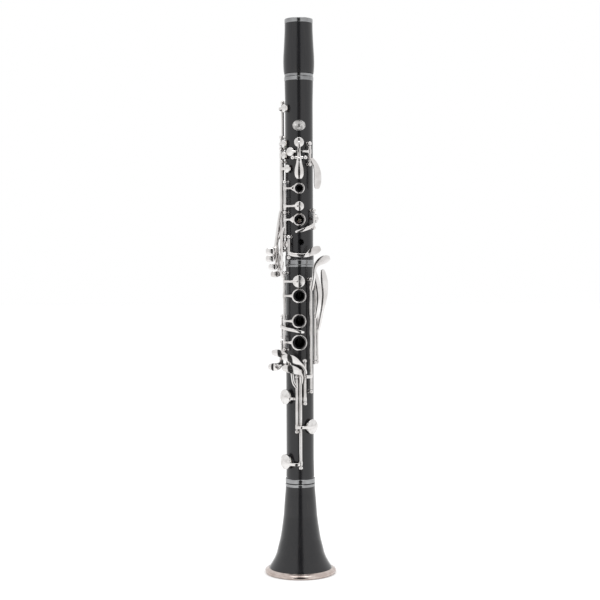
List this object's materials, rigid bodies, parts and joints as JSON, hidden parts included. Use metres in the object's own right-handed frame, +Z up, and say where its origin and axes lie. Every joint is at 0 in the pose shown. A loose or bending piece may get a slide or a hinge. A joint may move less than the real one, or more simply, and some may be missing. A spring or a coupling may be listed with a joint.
{
  "type": "soprano clarinet",
  "caption": "Boehm-system soprano clarinet body standing on its bell: barrel, two wooden joints, bell, ring keys, levers, posts and rods, without a mouthpiece.",
  "frame": {"origin": "centre of the bell's rim, on the surface that it stands on", "axes": "+Z up the bore towards the mouthpiece end, -Y the side of the finger holes, +X the left-hand little finger's levers"},
  "size_m": [0.0768, 0.0768, 0.596],
  "materials": {
    "grenadilla_wood": "oiled, fine straight grain, soft sheen",
    "silver_plate": "polished silver plate",
    "ring_metal": "turned, darker than the keys",
    "copper_plate": "polished pink copper",
    "steel": "ground, unhardened",
    "cork": "greased cork",
    "pad_leather": "fine kid skin"
  },
  "bodies": {
    "instrument": {"upper_joint": "grenadilla_wood", "upper_joint_rings": "ring_metal", "tenon_corks": "cork", "lower_joint": "grenadilla_wood", "lower_joint_rings": "ring_metal", "bell": "grenadilla_wood", "bell_top_ring": "ring_metal", "bell_rim_ring": "copper_plate", "badge": "silver_plate", "upper_posts": "silver_plate", "lower_posts": "silver_plate", "upper_rods": "steel", "lower_rods": "steel", "needle_springs": "steel", "thumb_tube": "silver_plate", "thumb_rest_plate": "silver_plate", "plate_screws": "steel"},
    "barrel": {"barrel": "grenadilla_wood", "barrel_rings": "ring_metal"},
    "thumb_rest": {"thumb_rest": "silver_plate", "thumb_rest_screw": "steel"},
    "first_ring": {"first_ring_key": "silver_plate", "first_ring_pad": "pad_leather"},
    "second_ring": {"second_ring_key": "silver_plate"},
    "throat_g_sharp": {"throat_g_sharp_key": "silver_plate", "throat_g_sharp_pad": "pad_leather"},
    "left_sliver": {"left_sliver_key": "silver_plate", "left_sliver_pad": "pad_leather"},
    "c_sharp": {"c_sharp_key": "silver_plate", "c_sharp_pad": "pad_leather"},
    "trill_1": {"trill_key_1": "silver_plate", "trill_pad_1": "pad_leather"},
    "trill_2": {"trill_key_2": "silver_plate", "trill_pad_2": "pad_leather"},
    "trill_3": {"trill_key_3": "silver_plate", "trill_pad_3": "pad_leather"},
    "trill_4": {"trill_key_4": "silver_plate", "trill_pad_4": "pad_leather"},
    "thumb_ring": {"thumb_ring": "silver_plate", "thumb_ring_pad": "pad_leather"},
    "right_ring": {"right_ring_key": "silver_plate", "right_ring_pad": "pad_leather"},
    "right_sliver": {"right_sliver_key": "silver_plate", "right_sliver_pad": "pad_leather"},
    "f_c": {"f_c_key": "silver_plate", "f_c_pad": "pad_leather"},
    "e_b": {"e_b_key": "silver_plate", "e_b_pad": "pad_leather"},
    "f_sharp": {"f_sharp_key": "silver_plate", "f_sharp_pad": "pad_leather"},
    "a_flat": {"a_flat_key": "silver_plate", "a_flat_pad": "pad_leather"},
    "left_e_b": {"left_e_b_lever": "silver_plate"},
    "left_f_c": {"left_f_c_lever": "silver_plate"},
    "left_f_sharp": {"left_f_sharp_lever": "silver_plate"},
    "throat_a": {"throat_a_key": "silver_plate", "throat_a_pad": "pad_leather"},
    "register": {"register_key": "silver_plate", "register_pad": "pad_leather"}
  },
  "joints": [
    {"name": "first_ring_hinge", "type": "hinge", "parent": "instrument", "child": "first_ring", "pos_m": [-0.01521, -0.01188, 0.405], "axis": [0, 0, 1], "range_deg": [0, 5], "stiffness_Nm_per_rad": 0.02, "springref_deg": -25},
    {"name": "second_ring_hinge", "type": "hinge", "parent": "instrument", "child": "second_ring", "pos_m": [-0.01521, -0.01188, 0.376], "axis": [0, 0, 1], "range_deg": [0, 5], "stiffness_Nm_per_rad": 0.02, "springref_deg": -25},
    {"name": "throat_g_sharp_hinge", "type": "hinge", "parent": "instrument", "child": "throat_g_sharp", "pos_m": [0.01134, -0.01561, 0.453], "axis": [0, 0, 1], "range_deg": [0, 5.5], "stiffness_Nm_per_rad": 0.02, "springref_deg": -25},
    {"name": "left_sliver_hinge", "type": "hinge", "parent": "instrument", "child": "left_sliver", "pos_m": [0.01541, -0.01162, 0.382], "axis": [0, 0, 1], "range_deg": [-8, 0], "stiffness_Nm_per_rad": 0.02, "springref_deg": 25},
    {"name": "c_sharp_hinge", "type": "hinge", "parent": "instrument", "child": "c_sharp", "pos_m": [-0.01134, -0.01561, 0.352], "axis": [0, 0, 1], "range_deg": [0, 10], "stiffness_Nm_per_rad": 0.02, "springref_deg": -25},
    {"name": "trill_1_hinge", "type": "hinge", "parent": "instrument", "child": "trill_1", "pos_m": [-0.01835, -0.00596, 0.39625], "axis": [0, 0, 1], "range_deg": [-8, 0], "stiffness_Nm_per_rad": 0.02, "springref_deg": 25},
    {"name": "trill_2_hinge", "type": "hinge", "parent": "instrument", "child": "trill_2", "pos_m": [-0.01925, -0.00135, 0.41525], "axis": [0, 0, 1], "range_deg": [-8, 0], "stiffness_Nm_per_rad": 0.02, "springref_deg": 25},
    {"name": "trill_3_hinge", "type": "hinge", "parent": "instrument", "child": "trill_3", "pos_m": [-0.01901, 0.00335, 0.42275], "axis": [0, 0, 1], "range_deg": [-8, 0], "stiffness_Nm_per_rad": 0.02, "springref_deg": 25},
    {"name": "trill_4_hinge", "type": "hinge", "parent": "instrument", "child": "trill_4", "pos_m": [-0.01763, 0.00785, 0.42925], "axis": [0, 0, 1], "range_deg": [-8, 0], "stiffness_Nm_per_rad": 0.02, "springref_deg": 25},
    {"name": "thumb_ring_hinge", "type": "hinge", "parent": "instrument", "child": "thumb_ring", "pos_m": [-0.01079, 0.016, 0.394], "axis": [0, 0, 1], "range_deg": [-5, 0], "stiffness_Nm_per_rad": 0.02, "springref_deg": 25},
    {"name": "right_ring_hinge", "type": "hinge", "parent": "instrument", "child": "right_ring", "pos_m": [-0.01619, -0.01051, 0.284], "axis": [0, 0, 1], "range_deg": [0, 5], "stiffness_Nm_per_rad": 0.02, "springref_deg": -25},
    {"name": "right_sliver_hinge", "type": "hinge", "parent": "instrument", "child": "right_sliver", "pos_m": [-0.01855, -0.00532, 0.267], "axis": [0, 0, 1], "range_deg": [0, 9], "stiffness_Nm_per_rad": 0.02, "springref_deg": -25},
    {"name": "f_c_hinge", "type": "hinge", "parent": "instrument", "child": "f_c", "pos_m": [0.00532, -0.01855, 0.208], "axis": [0, 0, 1], "range_deg": [-5, 0], "stiffness_Nm_per_rad": 0.02, "springref_deg": 25},
    {"name": "e_b_hinge", "type": "hinge", "parent": "instrument", "child": "e_b", "pos_m": [0.00067, -0.01929, 0.168], "axis": [0, 0, 1], "range_deg": [-5, 0], "stiffness_Nm_per_rad": 0.02, "springref_deg": 25},
    {"name": "f_sharp_hinge", "type": "hinge", "parent": "instrument", "child": "f_sharp", "pos_m": [-0.01929, -0.00067, 0.238], "axis": [0, 0, 1], "range_deg": [-5, 0], "stiffness_Nm_per_rad": 0.02, "springref_deg": 25},
    {"name": "a_flat_hinge", "type": "hinge", "parent": "instrument", "child": "a_flat", "pos_m": [-0.00322, -0.01903, 0.183], "axis": [0, 0, 1], "range_deg": [-6, 0], "stiffness_Nm_per_rad": 0.02, "springref_deg": 25},
    {"name": "left_e_b_hinge", "type": "hinge", "parent": "instrument", "child": "left_e_b", "pos_m": [0.01619, -0.01051, 0.273], "axis": [0, 0, 1], "range_deg": [0, 5]},
    {"name": "left_f_c_hinge", "type": "hinge", "parent": "instrument", "child": "left_f_c", "pos_m": [0.01873, -0.00467, 0.273], "axis": [0, 0, 1], "range_deg": [0, 5]},
    {"name": "left_f_sharp_hinge", "type": "hinge", "parent": "instrument", "child": "left_f_sharp", "pos_m": [0.01188, -0.01521, 0.258], "axis": [0, 0, 1], "range_deg": [0, 5]},
    {"name": "throat_a_pivot", "type": "hinge", "parent": "instrument", "child": "throat_a", "pos_m": [0, -0.02, 0.4473], "axis": [1, 0, 0], "range_deg": [0, 6], "stiffness_Nm_per_rad": 0.02, "springref_deg": -25},
    {"name": "register_pivot", "type": "hinge", "parent": "instrument", "child": "register", "pos_m": [0, 0.02, 0.438], "axis": [1, 0, 0], "range_deg": [-4, 0], "stiffness_Nm_per_rad": 0.02, "springref_deg": 25},
    {"name": "barrel_slide", "type": "slide", "parent": "instrument", "child": "barrel", "axis": [0, 0, 1], "range_m": [0, 0.003]},
    {"name": "thumb_rest_slide", "type": "slide", "parent": "instrument", "child": "thumb_rest", "axis": [0, 0, 1], "range_m": [-0.001, 0.002]}
  ],
  "couplings": [
    {"joint": "left_e_b_hinge", "follows": "e_b_hinge", "ratio": -1},
    {"joint": "left_f_c_hinge", "follows": "f_c_hinge", "ratio": -1},
    {"joint": "left_f_sharp_hinge", "follows": "f_sharp_hinge", "ratio": -1}
  ]
}
